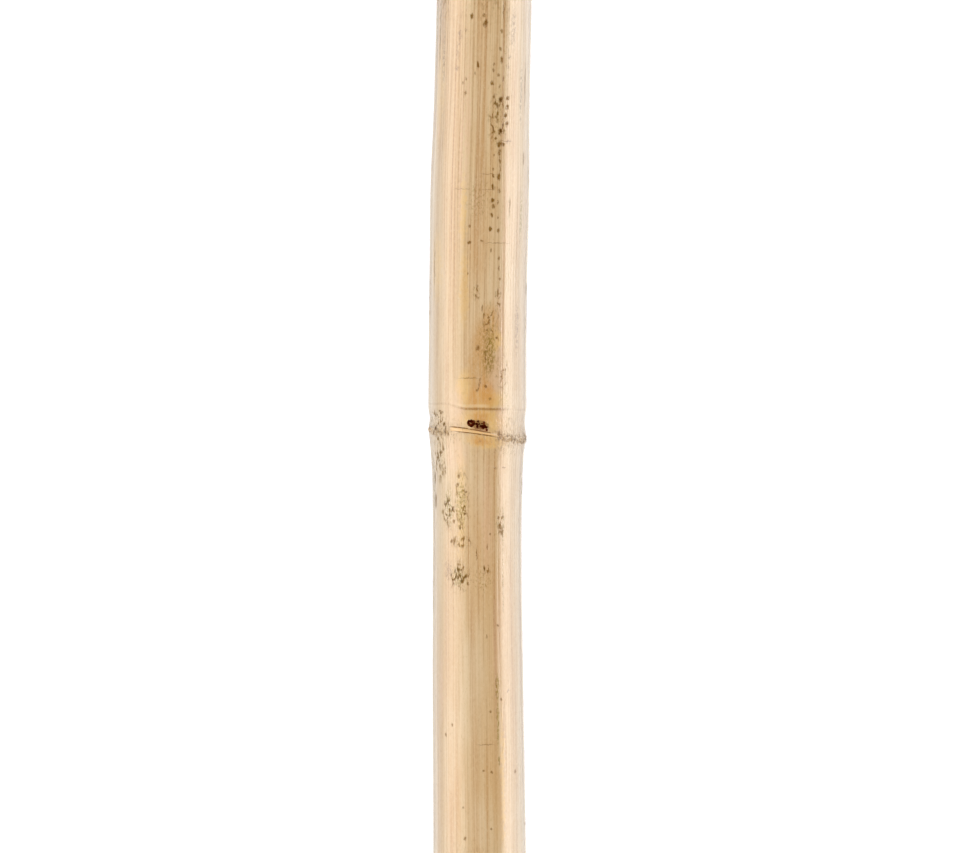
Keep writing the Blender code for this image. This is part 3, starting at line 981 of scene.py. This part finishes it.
def turned_culm(bm):
    """Spins the closed wall profile about Y and tells each vertex whether it is on the skin."""
    outer = outer_profile()
    profile = outer + list(reversed(inner_profile()))
    skin_layer = bm.verts.layers.int.new("skin")
    rim = [bm.verts.new((radius, y, 0.0)) for radius, y in profile]
    for i, vert in enumerate(rim):
        vert[skin_layer] = 1 if 0 < i < len(outer) - 1 else 0
    edges = [bm.edges.new((rim[i - 1], rim[i])) for i in range(len(rim))]
    bmesh.ops.spin(
        bm, geom=rim + edges, cent=(0, 0, 0), axis=(0, 1, 0), angle=2 * math.pi, steps=SIDES, use_merge=True
    )
    bmesh.ops.recalc_face_normals(bm, faces=bm.faces)
    return skin_layer


def flattened(spot, turn, middle_y, material):
    """Where a point of the culm lies on its flat map."""
    if material == 1:
        across = MAP_ENDS_FROM if middle_y < 0 else MAP_ENDS_FROM + MAP_END_SPACE
        across += spot.x / MM + MAP_END_SPACE / 2
        up = MAP_CHAMBERS_FROM + spot.z / MM
    elif material == 2:
        across = (spot.y - BUTT_Y) / MM * MAP_CHAMBER_SCALE
        up = MAP_CHAMBERS_FROM + turn * SKIN_RADIUS / MM * MAP_CHAMBER_SCALE + MAP_STRIP / 6
    else:
        strip = min(int((middle_y - BUTT_Y) / CANE_LENGTH * 3), 2)
        across = (spot.y - BUTT_Y) / MM - strip * CANE_LENGTH / MM / 3
        up = strip * (MAP_STRIP + MAP_GAP) + MAP_STRIP / 2 + turn * SKIN_RADIUS / MM
    return (across + MAP_GAP) / MAP_SIZE, (up + MAP_GAP) / MAP_SIZE


def culm_piece():
    """The whole culm, with its skin, cut ends and chambers as three materials."""
    bm = bmesh.new()
    skin_layer = turned_culm(bm)
    straight = bm.verts.layers.float_vector.new("straight")
    skin_place = bm.loops.layers.float_vector.new("skin_place")
    node_layer = bm.verts.layers.float_vector.new("node_place")
    wall_layer = bm.verts.layers.float_vector.new("wall_place")
    turns = {}
    for vert in bm.verts:
        x, y, z = vert.co
        y = round(y, 6)
        radius, angle = math.hypot(x, z), math.atan2(z, x)
        node = nearest_node(y)
        turns[vert] = math.atan2(x, z)
        vert[straight] = Vector((x / radius * SKIN_RADIUS, y, z / radius * SKIN_RADIUS)) / MM
        side = right_of_bud(node, angle)
        vert[node_layer] = Vector((side, (y - node.scar_y) / MM, lip_strength(node, angle)))
        vert[wall_layer] = Vector(((radius - diameter_at(y) / 2) / wall_at(y) + 1, 0, 0))
        vert.co = grown_place(x, y, z, vert[skin_layer] == 1)
    flat_map = bm.loops.layers.uv.new("OFBake")
    for face in bm.faces:
        middle = face.calc_center_median()
        cut = abs(face.normal.y) > 0.9 and abs(middle.y) > TIP_Y - MM
        skin = any(vert[skin_layer] for vert in face.verts)
        face.material_index = 0 if skin else 1 if cut else 2
        face.smooth = True
        first = turns[face.verts[0]]
        for loop in face.loops:
            turn = turns[loop.vert]
            if abs(turn - first) > math.pi:
                turn += math.copysign(2 * math.pi, first)
            above = (loop.vert.co.y - MIDDLE_NODE.scar_y) / MM
            loop[skin_place] = Vector((turn * SKIN_RADIUS / MM, above, 0))
            loop[flat_map].uv = flattened(loop.vert.co, turn, middle.y, face.material_index)
    obj = finished("bamboo_culm", bm, skin_material(), sawn_material(), chamber_material())
    obj.data.set_sharp_from_angle(angle=SHARP_ANGLE)
    return obj


def skin_point(y, angle):
    """A place on the grown skin, with its outward and lengthwise directions."""
    radius = diameter_at(y) / 2
    here = grown_place(radius * math.cos(angle), y, radius * math.sin(angle), True)
    further = grown_place(radius * math.cos(angle), y + 0.2 * MM, radius * math.sin(angle), True)
    outward = Vector((math.cos(angle), 0, math.sin(angle)))
    return here, outward, (further - here).normalized()


def add_fibre(bm, y, angle, length, width, splay, downwards):
    """One frayed fibre: a thin three-sided spike lying nearly flat on the skin."""
    foot, outward, along = skin_point(y, angle)
    lengthwise = -along if downwards else along
    sideways = outward.cross(lengthwise).normalized()
    direction = (lengthwise + outward * 0.12 + sideways * splay).normalized()
    turn = direction.to_track_quat("Z", "Y").to_matrix().to_4x4()
    middle = foot + direction * length / 2 - outward * width * 0.2
    bmesh.ops.create_cone(
        bm, cap_ends=True, segments=3, radius1=width / 2, radius2=width / 8, depth=length,
        matrix=Matrix.Translation(middle) @ turn,
    )


def sheath_fibre_piece():
    """Short fibres left where the sheaths tore off, thickest where the scar's lip is broken."""
    bm = bmesh.new()
    for node in CULM_NODES:
        for _ in range(FIBRES_TRIED):
            angle = random.uniform(-math.pi, math.pi)
            keep = random.random()
            y = node.scar_y + random.gauss(-0.5, 0.7) * MM
            length = random.uniform(*FIBRE_LENGTHS) * MM
            width = random.uniform(*FIBRE_WIDTHS) * MM
            splay = random.gauss(0, 0.25)
            downwards = random.random() < 0.8
            under = math.sin(angle) < -0.75
            if keep < 1.1 - lip_strength(node, angle) and not under:
                add_fibre(bm, y, angle, length, width, splay, downwards)
    return finished("sheath_fibres", bm, fibre_material())


def add_scale(bm, node, across, above, size):
    """One shrivelled scale of the bud, pressed on the skin."""
    angle = node.bud_angle - across / SKIN_RADIUS
    foot, outward, _ = skin_point(node.scar_y + above, angle)
    turn = outward.to_track_quat("Z", "Y").to_matrix().to_4x4()
    wide, tall, thick = random.uniform(0.7, 1.2), random.uniform(0.7, 1.2), random.uniform(0.4, 0.7)
    squash = Matrix.Diagonal((wide, tall, thick, 1))
    made = bmesh.ops.create_icosphere(
        bm, subdivisions=2, radius=size, matrix=Matrix.Translation(foot) @ turn @ squash
    )
    for vert in made["verts"]:
        vert.co += Vector(noise.noise_vector(vert.co / size * 1.1)) * size * 0.35


def bud_piece():
    """What is left of each bud: a ring of dried scales on one side and a torn cluster on the other."""
    bm = bmesh.new()
    for node in CULM_NODES:
        for i in range(RING_SCALES):
            turn = 2 * math.pi * i / RING_SCALES
            across = RING_ACROSS + RING_HALF_WIDTH * math.cos(turn)
            above = RING_ABOVE + RING_HALF_HEIGHT * math.sin(turn)
            add_scale(bm, node, across, above, random.uniform(0.46, 0.66) * MM)
        for _ in range(TORN_SCALES):
            across = random.uniform(-0.3, 3.6) * MM
            above = random.uniform(1.7, 4.2) * MM - 0.2 * across
            add_scale(bm, node, across, above, random.uniform(0.3, 0.58) * MM)
    for face in bm.faces:
        face.smooth = True
    return finished("bud_scales", bm, bud_material())


# The studio: its floor, the soft strips at the sides (place, size, how bright they look), the light above
FLOOR_HALF_SIZE = 4.0
FLOOR_GAP = 0.2 * MM
FLOOR_GREY = (0.45, 0.45, 0.45, 1.0)
WHITE = (1.0, 1.0, 1.0, 1.0)
WORLD_GREY = (0.3, 0.3, 0.3, 1.0)
LIGHT_LENGTH = 3.2
STRIPS = {
    "right_strip": ((1.0, 0, 0.28), (LIGHT_LENGTH, 0.56), 9.4),
    "left_strip": ((-1.0, 0, 0.29), (LIGHT_LENGTH, 0.58), 7.0),
    "left_upper_strip": ((-0.95, 0, 0.9), (LIGHT_LENGTH, 0.6), 4.9),
}
TOP_FILL = ((-0.1, 0, 2.0), (2.0, 2.0), 2.95)

# White cards beside the cane: near and far edge, and how bright the right and the left one look
FLOOR_CARDS = (
    (0.0, 0.036, 1.7, 1.3), (0.036, 0.064, 4.4, 3.4), (0.064, 0.12, 5.2, 3.0), (0.12, 1.0, 6.0, 3.4),
)


def floor():
    """A plain pale floor, white to the camera, that casts no light back on the cane."""
    bm = bmesh.new()
    place = Matrix.Translation((0, 0, -FLOOR_GAP))
    bmesh.ops.create_grid(bm, x_segments=1, y_segments=1, size=FLOOR_HALF_SIZE, matrix=place)
    paint = Paint("pale_floor")
    paint.finish(Base_Color=FLOOR_GREY, Roughness=0.9, Emission_Color=WHITE, Emission_Strength=0.8)
    obj = finished("floor", bm, paint.material)
    obj.visible_glossy = False
    obj.visible_diffuse = False


def panel(name, place, size, radiance, aim=(0, 0, 20 * MM), glossy=True, diffuse=True):
    """A rectangular soft light, long along the cane, that faces its aim, given by how bright it looks."""
    light = bpy.data.lights.new(name, "AREA")
    light.shape = "RECTANGLE"
    light.size, light.size_y = size
    light.energy = radiance * math.pi * size[0] * size[1]
    obj = linked(name, light)
    obj.location = place
    away = (Vector(place) - Vector(aim)).normalized()
    along = Vector((0, 1, 0))
    obj.rotation_mode = "QUATERNION"
    obj.rotation_quaternion = Matrix((along, away.cross(along), away)).transposed().to_quaternion()
    obj.visible_camera = False
    obj.visible_glossy = glossy
    obj.visible_diffuse = diffuse


def lights():
    world = bpy.data.worlds.new("studio")
    world.use_nodes = True
    world.node_tree.nodes["Background"].inputs["Color"].default_value = WORLD_GREY
    bpy.context.scene.world = world
    for name, (place, size, radiance) in STRIPS.items():
        panel(name, place, size, radiance, diffuse=False)
    panel("top_fill", *TOP_FILL, glossy=False)
    for near_edge, far_edge, right, left in FLOOR_CARDS:
        middle = (near_edge + far_edge) / 2
        size = (LIGHT_LENGTH, far_edge - near_edge)
        panel("right_card", (middle, 0, MM), size, right, aim=(middle, 0, 1), diffuse=False)
        panel("left_card", (-middle, 0, MM), size, left, aim=(-middle, 0, 1), diffuse=False)


def camera():
    data = bpy.data.cameras.new("camera")
    data.lens = LENS
    data.sensor_width = SENSOR
    obj = linked("camera", data)
    obj.location = (CAMERA_X, CAMERA_Y, AXIS_HEIGHT + CAMERA_DISTANCE)
    bpy.context.scene.camera = obj


culm = culm_piece()
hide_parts("culm")
for piece in (culm, sheath_fibre_piece(), bud_piece()):
    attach(piece, "root")
floor()
lights()
camera()
bpy.context.scene.view_settings.view_transform = "Standard"
